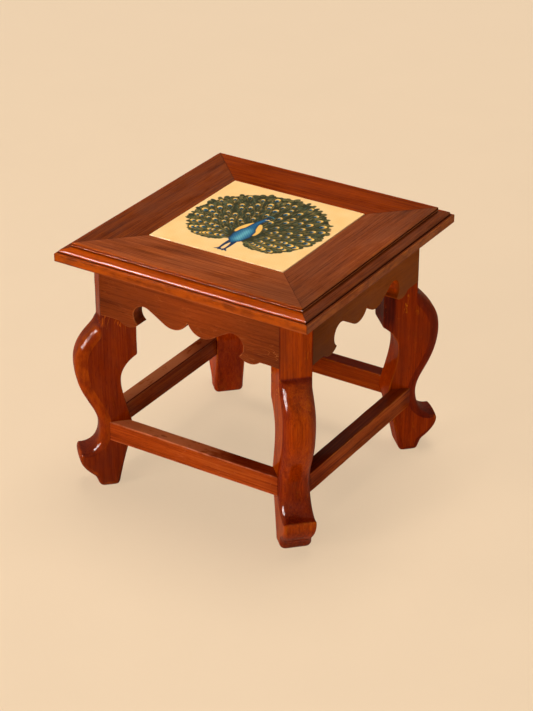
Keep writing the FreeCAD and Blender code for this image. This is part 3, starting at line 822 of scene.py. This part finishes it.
barShape = dict(
    places=sideNames, mesh="stretcher", wood="stretcherWood_", piece="easedStretcher_", node="stretcher_",
    turn=0, fibres="xyxy", grainShift=((0.15, 0.3), (0.4, 0), (0.12, 0)),
    ease=1.0, bendStep=0.2, step=1.2, steps=81, endGap=0.06, seed=71, swell=0.12, wave=50,
    cornerReach=0.9, arrisGain=1.3, jointReach=0.8, jointGrime=0.8, skin=0.3, endReach=(45.0, 15.0),
    # painted shade on the bar tops under the stool's top, and a painted sheen with some wear along them
    topGrime=[(0.0, 0.43), (0.85, 0.62), (0.6, 0.6), (0.7, 0.0)],
    topWear=[(3.0, 0.0), (0.0, 0.0), (0.0, 0.0), (3.0, 4.0)],
    topTurn=(0.15, -0.3, 0.0, -0.5), topSpan=(0.7, 0.4, 0.4, 0.4),
    # darker along the left bar's upper inside arris, and painted shade on its inside face
    innerGrime=(0.0, 0.0, 0.0, 0.9), insideGrime=(0.0, 0.0, 0.0, 0.12),
    # painted shade towards the bars' ends
    endGrime=[(0.14, 0.16), (0.42, 0.5), (0.0, 0.15), (0.0, 0.0)],
    tones={
        "Dark": (112, 42, 11), "Middle": (172, 71, 19), "Light": (206, 98, 34), "RubbedAndLit": (224, 124, 48),
        "Blotch": 0.4, "Polish": 0.36, "WearAndLight": 0.6, "Scuffs": 0.14, "Lacquer": 0.12,
    },
    # the pale rubbed tones of the front and left bars paint the sheen on their tops
    own={"front": {"WearAndLight": 0.9, "RubbedAndLit": (229, 132, 82)}, "left": {"WearAndLight": 0.85, "RubbedAndLit": (218, 129, 100)}},
    # the tints also paint the light and shade that falls on each side
    tints=[(0.77, 0.72, 0.68), (0.74, 0.8, 0.85), (0.57, 0.42, 0.05), (0.59, 0.55, 0.35)],
)


def makeStretchers(s):
    # a rounded rectangle carried along the bar; its ends follow the legs' sides at 45 degrees
    low, high = barLow[2], barHigh[2]
    near, far = barFace - barThick, barFace
    corners = ((far, high), (far, low), (near, low), (near, high))
    loop = roundedLoop([(*corner, s.ease, s.bendStep, s.step) for corner in corners])
    turns = loopCorners(loop, s.cornerReach)
    out, up = loop.T[:, None]
    way = easedWay(s.steps)
    rings = np.stack(np.broadcast_arrays(way * (out - legSide - s.endGap), -out, up), -1)
    arris = unit(np.maximum(turns, 0) * s.arrisGain)
    joint = bell((1 - np.abs(way)) * barFace, s.jointReach) * s.jointGrime  # dark against the leg
    onTop, inside = up > high - s.skin * s.ease, out < near + s.skin * s.ease
    inner = np.hypot(out - near, up - high) < s.ease  # the upper arris on the inside
    startOff, endOff = (bell((1 + k * way) * barFace, reach) for k, reach in zip((1, -1), s.endReach))
    for k in range(4):
        uneven = slowSwell(rings, s.seed + k, s.swell, s.wave)
        shaped = rings + np.stack([0 * uneven, uneven, uneven], -1)
        share = unit((way - s.topTurn[k]) / s.topSpan[k] + 0.5)
        # painted sheen with some wear, and painted shade, along each top, changing from end to end; painted shade
        # near the ends
        wear, grime = (onTop * np.interp(share, (0, 1), ends[k]) for ends in (s.topWear, s.topGrime))
        atEnds = startOff * s.endGrime[k][0] + endOff * s.endGrime[k][1]
        dark = largest(joint, grime, inner * s.innerGrime[k], inside * s.insideGrime[k], atEnds)
        addWood(s, k, shaped, largest(arris * (1 - inner * s.innerGrime[k]), wear), dark)


makeStretchers(SimpleNamespace(**barShape))
print("stretchers made")


# tile: a glazed square with a painted bird on a cream ground

tileShape = dict(
    cells=296, round=0.55, roundSteps=4, foot=0.4, paintLift=0.05, bare=1.5,
    wash=(3, 26), speck=(9, 3.4), grain=(21, 2.2),  # seed and size of the patches
    edgeTone=(244, 206, 150), edgeShare=0.5, ripple=((180, 180, 180), 3, 0.5), roughSpan=(0.3, 0.7, 0.12, 0.26),
    relief=0.06, coat=0.2, coatRoughness=0.05,
)
birdPaint = dict(
    ground=(252, 206, 140), groundPale=(253, 218, 162), groundWarm=(247, 190, 116), under=(44, 48, 30),
    barbs=[(96, 98, 58), (126, 114, 64), (50, 60, 40), (64, 94, 78), (186, 142, 66), (84, 86, 50), (52, 84, 84)],
    plumes=[(80, 82, 48), (94, 92, 56), (62, 72, 50), (108, 100, 58)],
    vaneDark=(28, 32, 20), gold=(176, 132, 54), ring=(248, 176, 50), ringPale=(255, 212, 112),
    teal=(58, 132, 156), navy=(18, 36, 70), blue=(28, 98, 142), bluePale=(108, 186, 200), blueDark=(14, 42, 74),
    opening=(250, 192, 98), leg=(26, 48, 84), pupil=(12, 14, 22),
)
fanShape = dict(
    root=(0.0, -38.0), middle=4.0, radii=(72.5, 66.0), spread=2.0, floor=-51.0, barbCount=2600, seed=5,
    plumeRows=(0.985, 0.95, 0.9), plumeCount=58, endCount=11,
    rows=[(0.88, 13.5, 5.2), (0.77, 12.8, 4.9), (0.66, 12.0, 4.6), (0.55, 11.2, 4.2), (0.44, 10.4, 3.8),
          (0.34, 9.6, 3.4)],  # share of the way out, distance between eyes, size
)
bodyShape = dict(
    spine=[(0.0, -46.0), (0.0, -38.0), (0.2, -29.0), (0.3, -20.0), (-0.2, -12.0), (-0.9, -4.0), (-0.5, 3.0),
           (1.0, 8.5), (2.4, 12.0)],
    girth=[2.6, 7.2, 9.0, 7.6, 4.6, 3.0, 2.4, 2.1, 2.6],
    hip=(2.4, -46.0), knee=(3.2, -55.0), heel=(3.0, -63.0), toes=(-4.4, -0.6, 3.6),
    opening=(6.6, -13.0), openingRadii=(13.0, 4.6), openingLean=1.3,
    crest=(2.2, 13.6), plumes=(-0.5, -0.2, 0.1, 0.4, 0.7), plumeLength=6.6,
)


class Painting:
    # a canvas over the tile's face, painted mark on mark; each mark works on a window round itself
    def __init__(self, place):
        self.place = place
        self.u, self.v = np.meshgrid(place, place, indexing="ij")
        self.colour = np.zeros(self.u.shape + (3,))
        self.lift = np.zeros(self.u.shape)
        self.whole = (slice(None), slice(None))

    def window(self, low, high):
        return tuple(slice(*np.searchsorted(self.place, span)) for span in zip(low, high))

    def lay(self, cut, cover, colour, lift=0.0):
        cover = unit(cover)
        self.colour[cut] += (np.asarray(colour, float) - self.colour[cut]) * cover[..., None]
        self.lift[cut] += (lift - self.lift[cut]) * cover

    def stroke(self, points, widths, colour, soft=0.5, lift=0.6, strength=1.0):
        # a brush stroke along points, its half width changing from point to point
        points, widths = floats(points, widths)
        cut = self.window(points.min(0) - widths.max() - soft, points.max(0) + widths.max() + soft)
        u, v = self.u[cut], self.v[cut]
        best = np.full(u.shape, np.inf)
        for a, b, wa, wb in zip(points[:-1], points[1:], widths[:-1], widths[1:]):
            along = b - a
            t = unit(((u - a[0]) * along[0] + (v - a[1]) * along[1]) / (along @ along))
            gap = np.hypot(u - a[0] - t * along[0], v - a[1] - t * along[1]) - (wa + (wb - wa) * t)
            best = np.minimum(best, gap)
        self.lay(cut, unit(0.5 - best / soft) * strength, colour, lift)
        return cut, best

    def oval(self, centre, radii, turn, colour, soft=0.5, lift=0.6):
        reach = max(radii) + soft
        cut = self.window(np.array(centre) - reach, np.array(centre) + reach)
        du, dv = self.u[cut] - centre[0], self.v[cut] - centre[1]
        a = du * math.cos(turn) + dv * math.sin(turn)
        b = -du * math.sin(turn) + dv * math.cos(turn)
        gap = (np.hypot(a / radii[0], b / radii[1]) - 1) * min(radii)
        self.lay(cut, 0.5 - gap / soft, colour, lift)
        return cut, a, gap


def heading(angle):
    # one step in a direction, angles from straight up
    return np.array([math.sin(angle), math.cos(angle)])


def patchNoise(u, v, seed, grain):
    # brush unevenness: waves in many directions, multiplied into each other and added up
    rng = np.random.default_rng(seed)
    total = np.zeros(u.shape)
    for _ in range(9):
        angle, wave, phase = rng.uniform(0, math.pi), grain * rng.uniform(0.5, 1.8), rng.uniform(0, 6.3, 2)
        along = u * math.cos(angle) + v * math.sin(angle)
        aside = -u * math.sin(angle) + v * math.cos(angle)
        total += np.sin(along * 6.28 / wave + phase[0]) * np.cos(aside * 6.28 / wave / 1.7 + phase[1])
    return total / 4.5


def fanReach(s, angle):
    # how far a ray from the fan's root runs before it leaves the fan's oval
    drop = s.root[1] - s.middle
    a = (np.sin(angle) / s.radii[0]) ** 2 + (np.cos(angle) / s.radii[1]) ** 2
    b = 2 * drop * np.cos(angle) / s.radii[1] ** 2
    c = (drop / s.radii[1]) ** 2 - 1
    return (np.sqrt(b * b - 4 * a * c) - b) / (2 * a)


def onFan(s, angle, share):
    x, y = np.array(s.root) + heading(angle) * fanReach(s, angle) * share
    return np.array([x, max(y, s.floor + 4)])


def paintPlumes(painting, paint, s, rng):
    # rounded plume tips along the fan's edge, row over row, and along both lower ends
    palette = np.array(paint.plumes, float)
    spots = []
    for row, share in enumerate(s.plumeRows):
        angles = np.linspace(-s.spread, s.spread, s.plumeCount + row)
        angles = angles + rng.normal(0, 0.016, len(angles))
        spots += [(onFan(s, a, (share - 0.035) * rng.uniform(0.965, 1.02)), a + rng.normal(0, 0.25)) for a in angles]
        for side in (-1, 1):
            end = side * (s.spread - 0.02 - 0.05 * row)
            spots += [(onFan(s, end, away), end + side * 0.9) for away in np.linspace(0.4, 0.97, s.endCount)]
    for centre, angle in spots:
        tone = palette[rng.integers(0, len(palette))] * rng.uniform(0.8, 1.15)
        length, width = rng.uniform(2.6, 4.6), rng.uniform(1.7, 2.9)
        turn = math.pi / 2 - angle + rng.normal(0, 0.2)
        painting.oval(centre, (length + 0.35, width + 0.35), turn, paint.vaneDark, 0.6, 0.5)
        cut, a, gap = painting.oval(centre, (length, width), turn, tone)
        across = np.sin(a * 4.2 + gap * 2.4 + rng.uniform(0, 6.3))
        painting.lay(cut, unit(0.5 - gap / 0.5) * unit(across) * 0.6, paint.vaneDark, 0.5)


def paintBarbs(painting, paint, s, rng):
    # a dark ground under the whole fan, plume tips round it, then many short slanting barbs
    du, dv = painting.u - s.root[0], painting.v - s.root[1]
    angle, away = np.arctan2(du, dv), np.hypot(du, dv)
    beyond = largest(away - fanReach(s, angle) * 0.95, (np.abs(angle) - s.spread) * away, s.floor + 3 - painting.v)
    painting.lay(painting.whole, 0.5 - beyond / 0.8, paint.under, 0.4)
    paintPlumes(painting, paint, s, rng)
    palette = np.array(paint.barbs, float)
    for _ in range(s.barbCount):
        angle = rng.uniform(-s.spread, s.spread)
        base = onFan(s, angle, math.sqrt(rng.uniform(0.03, 0.78)))
        lean = rng.choice([-1, 1]) * rng.uniform(0.1, 0.75)
        length = rng.uniform(2.5, 6.5)
        bend = base + length * 0.5 * heading(angle)
        tip = bend + length * 0.6 * heading(angle + lean)
        tone = palette[rng.integers(0, len(palette))] * rng.uniform(0.75, 1.15)
        widths = [0.2, rng.uniform(0.24, 0.5), 0.14]
        painting.stroke([base, bend, tip], widths, tone, 0.5, 0.7, rng.uniform(0.5, 0.95))


def paintEye(painting, paint, centre, angle, size, rng):
    # the eye of a plume: dark halo, gold barbs beside it, gold ring that brightens outwards, teal and navy
    outward, aside = heading(angle), np.array([math.cos(angle), -math.sin(angle)])
    turn = math.pi / 2 - angle + rng.normal(0, 0.2)

    def spot(out, radii, tone, soft, lift):
        return painting.oval(centre + outward * out * size, np.array(radii) * size, turn, tone, soft, lift)

    spot(0.0, (0.8, 0.66), paint.vaneDark, 1.0, 0.6)
    for side in (-1, 1):
        steps = ((0.25, -1.9), (0.72, -0.3), (0.3, 0.95))  # aside and outward
        line = [centre + (aside * side * a + outward * o) * size for a, o in steps]
        painting.stroke(line, [0.2, 0.3, 0.18], paint.gold, 0.5, 0.8, 0.6)
    cut, a, gap = spot(0.06, (0.6, 0.5), paint.ring, 0.5, 1.0)
    painting.lay(cut, unit(0.5 - gap / 0.5) * unit(a / (0.45 * size)), paint.ringPale, 1.0)
    spot(-0.2, (0.43, 0.38), paint.teal, 0.5, 1.1)
    spot(-0.3, (0.25, 0.25), paint.navy, 0.5, 1.2)


def paintFan(painting, paint, s):
    rng = np.random.default_rng(s.seed)
    paintBarbs(painting, paint, s, rng)
    for share, spacing, size in s.rows:
        # eyes an even distance apart along the row, from one lower end to the other
        angles = np.linspace(-s.spread * 0.95, s.spread * 0.95, 400)
        away = fanReach(s, angles) * share
        run = runAlong(np.stack([away * np.sin(angles), away * np.cos(angles)], 1))
        count = int(round(run[-1] / spacing))
        for angle in np.interp((np.arange(count) + 0.5) * run[-1] / count, run, angles):
            centre = onFan(s, angle + rng.normal(0, 0.025), share + rng.normal(0, 0.018))
            paintEye(painting, paint, centre, angle, size * rng.uniform(0.7, 1.2), rng)


def paintBody(painting, paint, s):
    # pale openings beside the neck, then legs, body, neck, crest and head
    for side in (-1, 1):
        turn = math.pi / 2 + side * (math.pi / 2 - s.openingLean)
        painting.oval((side * s.opening[0], s.opening[1]), s.openingRadii, turn, paint.opening, 0.6, 0.2)
        hip, knee, heel = ((side * x, y) for x, y in (s.hip, s.knee, s.heel))
        painting.stroke([hip, knee, heel], [2.3, 1.5, 1.15], paint.leg)
        for toe in s.toes:
            middle = (heel[0] + side * toe * 0.6, heel[1] - 2.6)
            tip = (heel[0] + side * toe, heel[1] - 4.4 + abs(toe) * 0.25)
            painting.stroke([heel, middle, tip], [1.15, 0.9, 0.45], paint.leg)
    girth = np.array(s.girth)
    painting.stroke(s.spine, girth + 0.7, paint.blueDark, 0.6, 1.1)
    cut, gap = painting.stroke(s.spine, girth, paint.blue, 0.5, 1.2)
    u, v = painting.u[cut], painting.v[cut]
    inside = unit(0.5 - gap / 0.5)
    sheen = bell(u - 0.8, 4.6) * unit((-10 - v) / 10) * unit((v + 46) / 8)
    painting.lay(cut, inside * sheen * 0.95, paint.bluePale, 1.3)
    row = v * 0.62
    scale = np.hypot(np.mod(u + 1.6 * (np.floor(row) % 2), 3.2) - 1.6, (row - np.floor(row)) * 1.6)
    painting.lay(cut, inside * unit(1 - np.abs(scale - 1.5) / 0.4) * 0.4 * (v < 0), paint.blueDark, 1.3)
    painting.lay(cut, inside * unit(1 + gap / 1.8) * 0.6, paint.blueDark, 1.1)
    crest = np.array(s.crest)
    for lean in s.plumes:
        tip = crest + s.plumeLength * heading(lean)
        painting.stroke([crest, tip], [0.35, 0.25], paint.blueDark)
        painting.oval(tip, (0.95, 0.7), math.pi / 2 - lean, paint.teal, 0.4, 1.2)
    head = np.array(s.spine[-1])
    painting.stroke([head + (1.6, 0.2), head + (5.0, -0.8)], [1.0, 0.2], paint.ringPale)
    painting.stroke([head + (-0.4, -1.1), head + (1.8, -0.7)], [0.45, 0.3], paint.ground)
    painting.oval(head + (0.8, 0.7), (0.6, 0.6), 0.0, paint.pupil, 0.4, 1.3)


def paintTile(place, s):
    painting = Painting(place)
    paint = SimpleNamespace(**birdPaint)
    wash, speck, grainy = (patchNoise(painting.u, painting.v, *look) for look in (s.wash, s.speck, s.grain))
    painting.colour[:] = paint.ground
    pale, warm = paint.groundPale, paint.groundWarm
    for patches, share, tone in ((wash, 0.35, pale), (-wash, 0.35, warm), (np.abs(speck) - 0.35, 0.2, warm)):
        painting.lay(painting.whole, unit(patches) * share, tone)
    paintFan(painting, paint, SimpleNamespace(**fanShape))
    paintBody(painting, paint, SimpleNamespace(**bodyShape))
    painting.colour = np.clip(painting.colour * (1 + 0.04 * grainy[..., None]), 0, 255)
    return painting


def glazedTile(s):
    material, n, shader = newMaterial("glazedTile")
    ripple = n.noise(n.place(), *s.ripple)
    edge = n.times(n.layer("glazeEdge"), s.edgeShare)
    n.feed({
        "Base Color": n.mix(edge, n.layer("paint", "Color"), srgb(s.edgeTone)),
        "Roughness": n.span(ripple, *s.roughSpan), "Normal": n.relief(ripple, s.relief),
        "Specular IOR Level": 0.0, "Coat Weight": s.coat, "Coat Roughness": s.coatRoughness,
    }, shader)
    return material


def makeTile(s):
    # a grid over the face that turns down round the edges; its colours are kept on the points
    half, r, tall = tileHigh[0], s.round, tileHigh[2] - tileLow[2]
    bend = np.linspace(0, math.pi / 2, s.roundSteps + 1)[1:]
    flat = np.linspace(-(half - r), half - r, s.cells + 1)
    over = np.concatenate([half - r + r * np.sin(bend), [half, half]])
    drop = np.concatenate([r * (1 - np.cos(bend)), [tall - s.foot, tall]])
    place = np.concatenate([-over[::-1], flat, over])
    fall = np.concatenate([drop[::-1], 0 * flat, drop])
    x, y = np.meshgrid(place, place, indexing="ij")
    down = np.maximum(fall[:, None], fall[None, :])
    painting = paintTile(place, s)
    lift = painting.lift * s.paintLift * unit(half - s.bare - np.maximum(np.abs(x), np.abs(y)))
    z = tileHigh[2] - down + lift - s.paintLift * 1.3
    z = np.where(down > 0, np.maximum(z, tileLow[2]), z)
    index = np.arange(x.size).reshape(x.shape)
    quads = np.stack([index[:-1, :-1], index[1:, :-1], index[1:, 1:], index[:-1, 1:]], -1).reshape(-1, 4)
    rim = np.concatenate([index[:, 0], index[-1, 1:], index[-2::-1, -1], index[0, -2:0:-1]])
    mesh = bpy.data.meshes.new("tile")
    verts = np.stack([x, y, z], -1).reshape(-1, 3) * mm
    mesh.from_pydata(verts, [], quads.tolist() + [rim[::-1].tolist()], shade_flat=False)
    mesh.set_sharp_from_angle(angle=math.radians(50))
    paint = mesh.color_attributes.new("paint", "FLOAT_COLOR", "POINT")
    rgba = np.concatenate([toLinear(painting.colour), np.ones(x.shape + (1,))], -1)
    paint.data.foreach_set("color", rgba.astype(np.float32).ravel())
    floatLayer(mesh, "glazeEdge", unit(down / r))
    mesh.validate()
    addPiece("paintedTile", mesh, glazedTile(s), "tile")


makeTile(SimpleNamespace(**tileShape))
print("tile painted")


# inner pieces keep their CAD shape and get their own finish

innerWoods = dict(  # fibre, dark, middle, light
    panelVeneer=("x", (150, 104, 62), (184, 138, 88), (206, 164, 112)),
    cleatWood_x=("x", (112, 70, 38), (146, 96, 54), (170, 120, 72)),
    cleatWood_y=("y", (112, 70, 38), (146, 96, 54), (170, 120, 72)),
)
innerSpeckled = dict(  # colour, fleck, grain, metallic, roughness
    zincScrew=((172, 166, 150), (206, 202, 190), 2600, 1.0, 0.36),
    tileAdhesive=((176, 172, 162), (150, 146, 138), 900, 0.0, 0.85),
)
innerFinish = {"mitre_tongue": "panelVeneer", "tile_panel": "panelVeneer", "tile_bed": "tileAdhesive"}
for side, fibre in zip(sideNames, "xyxy"):
    innerFinish["cleat_" + side] = "cleatWood_" + fibre
for fixed in ("apron", "top"):
    innerFinish["cleat_" + fixed + "_screws"] = "zincScrew"


def bareWood(name, fibre, dark, middle, light):
    material, n, shader = newMaterial(name)
    figure = n.group(woodFigure, {
        "Vector": n.fibres(fibre, (0.3, 0.2, 0.1)), "Dark": srgb(dark), "Middle": srgb(middle),
        "Light": srgb(light), "Polish": 0.65, "Pores": 0.35,
    })
    n.feed({"Base Color": figure["Color"], "Roughness": figure["Roughness"],
            "Normal": n.relief(figure["Height"], 0.25)}, shader)
    return material


def speckled(name, colour, fleck, grain, metal, rough):
    # an even material with flecks, for the screws and the tile's bed
    material, n, shader = newMaterial(name)
    flecks = n.noise(n.place(), (grain, grain, grain), 4, 0.65)
    n.feed({
        "Base Color": n.mix(n.span(flecks, 0.4, 0.65), srgb(colour), srgb(fleck)), "Metallic": metal,
        "Roughness": n.span(flecks, 0.3, 0.7, rough - 0.08, rough + 0.12), "Normal": n.relief(flecks, 0.2, 0.0002),
    }, shader)
    return material


def finishInner():
    finishes = {name: bareWood(name, *look) for name, look in innerWoods.items()}
    finishes.update({name: speckled(name, *look) for name, look in innerSpeckled.items()})
    for name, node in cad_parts.items():
        for start, finish in innerFinish.items():
            if name.startswith(start):
                node.data.materials.clear()
                node.data.materials.append(finishes[finish])


finishInner()
print("inner pieces finished")


# floor, light and camera

stageSet = dict(
    floorSize=12.0, floorTone=(238, 211, 178), floorCloud=((9, 9, 9), 3, 0.5), cloudSpan=(0.3, 0.7), cloudShade=0.96,
    worldTone=(255, 228, 190), wallTone=(240, 214, 182), horizon=0.04, zenith=0.12, risingFrom=0.45, risingTo=0.95,
    glow=0.7, glowFrom=0.8, glowTo=2.5, lampMiddle=(0, 0, 0.15),
)
lamps = {  # from where, how far, size, power, tone, seen by
    "key": ((-0.42, -0.85, 0.34), 3.0, (0.9, 0.9), 38.5, (255, 250, 243), "diffuse"),
    "front": ((0.0, -0.97, 0.24), 4.0, (2.4, 1.6), 40.0, (255, 244, 230), "diffuse"),
    "fill": ((0.62, -0.75, 0.2), 4.0, (1.0, 1.0), 14.0, (255, 244, 230), "diffuse"),
    "top": ((-0.05, 0.2, 1.0), 6.0, (3.2, 3.2), 295.0, (255, 248, 238), "diffuse"),
    "right": ((0.95, 0.1, 0.08), 3.0, (1.6, 0.7), 19.0, (200, 232, 255), "diffuse"),
    "left": ((-1.0, -0.25, 0.22), 3.0, (1.2, 1.2), 24.0, (255, 244, 228), "diffuse"),
    "sky": ((0.69, -0.42, 0.49), 2.5, (1.8, 1.8), 3.0, (255, 246, 232), "glossy"),
    "windowLow": ((-0.52, -0.7, 0.205), 2.0, (0.85, 0.6), 120.0, (255, 252, 248), "glossy"),
    "windowHigh": ((-0.52, -0.7, 0.584), 2.0, (0.85, 0.6), 120.0, (255, 252, 248), "glossy"),
}
photoCamera = dict(eye=(980.03, -1540.99, 1118.42), azimuth=32.2, elevation=28.61, focal=2090.46, tall=711, sensor=36)


def addObject(name, data):
    item = bpy.data.objects.new(name, data)
    bpy.context.scene.collection.objects.link(item)
    return item


def lookBack(item, direction):
    # turns a lamp or camera to look against the direction in which it stands
    item.rotation_mode = "QUATERNION"
    item.rotation_quaternion = (-direction).to_track_quat("-Z", "Y")


def backgroundRays(n):
    # 1 for the rays that show the background: from the camera, off gloss and through clear things
    rays = n.add("LightPath").outputs
    return n.most(*(rays["Is " + kind + " Ray"] for kind in ("Camera", "Glossy", "Transmission")))


def makeFloor(s):
    half = s.floorSize / 2
    mesh = bpy.data.meshes.new("floor")
    mesh.from_pydata([(-half, -half, 0), (half, -half, 0), (half, half, 0), (-half, half, 0)], [], [(0, 1, 2, 3)])
    material, n, shader = newMaterial("paleFloor")
    where = n.place()
    tone = srgb(s.floorTone)
    shade = tuple(c * s.cloudShade for c in tone[:3]) + (1,)
    cloudy = n.mix(n.span(n.noise(where, *s.floorCloud), *s.cloudSpan), tone, shade)
    away = n.add("VectorMath", {0: where}, operation="LENGTH").outputs["Value"]
    glow = n.times(backgroundRays(n), n.span(away, s.glowFrom, s.glowTo, s.glow, 1.0))
    n.feed({"Base Color": n.mix(glow, cloudy, (0, 0, 0, 1)), "Roughness": 0.9, "Specular IOR Level": 0.0,
            "Emission Color": tone, "Emission Strength": glow}, shader)  # a pale ground with a soft shadow
    below = n.add("NewGeometry").outputs["Backfacing"]  # from below the floor is clear
    clear = n.add("BsdfTransparent").outputs[0]
    surface = n.tree.nodes["Principled BSDF"].outputs[0]
    both = n.add("MixShader", {0: below, 1: surface, 2: clear}).outputs[0]
    n.feed({"Surface": both}, n.tree.nodes["Material Output"].inputs)
    mesh.materials.append(material)
    floor = addObject("floor", mesh)


def makeWorld(s):
    world = bpy.data.worlds.new("studio")
    world.use_nodes = True
    n = Nodes(world.node_tree)
    rise = n.axes(n.add("TexCoord").outputs["Generated"])["Z"]
    light = n.span(rise, s.risingFrom, s.risingTo, s.horizon, s.zenith)
    seen = backgroundRays(n)
    n.feed({"Strength": n.between(seen, light, 1.0), "Color": n.mix(seen, srgb(s.worldTone), srgb(s.wallTone))},
           n.tree.nodes["Background"].inputs)
    bpy.context.scene.world = world


def makeLamps(s):
    for name, (start, away, size, power, tone, seenBy) in lamps.items():
        data = bpy.data.lights.new(name, "AREA")
        data.shape = "RECTANGLE"
        data.size, data.size_y = size
        data.energy = power
        data.color = srgb(tone)[:3]
        lamp = addObject(name, data)
        direction = Vector(start).normalized()
        lamp.location = Vector(s.lampMiddle) + direction * away
        lookBack(lamp, direction)
        lamp.visible_diffuse = seenBy != "glossy"
        lamp.visible_glossy = seenBy != "diffuse"


def makeCamera(s):
    data = bpy.data.cameras.new("camera")
    data.sensor_width = s.sensor
    data.lens = s.focal / s.tall * s.sensor
    a, e = math.radians(s.azimuth), math.radians(s.elevation)
    camera = addObject("camera", data)
    camera.location = Vector(s.eye) * mm
    lookBack(camera, Vector((math.sin(a) * math.cos(e), -math.cos(a) * math.cos(e), math.sin(e))))
    bpy.context.scene.camera = camera


stage = SimpleNamespace(**stageSet)
makeFloor(stage)
makeWorld(stage)
makeLamps(stage)
makeCamera(SimpleNamespace(**photoCamera))
bpy.context.scene.view_settings.view_transform = "Standard"
print("stage set")
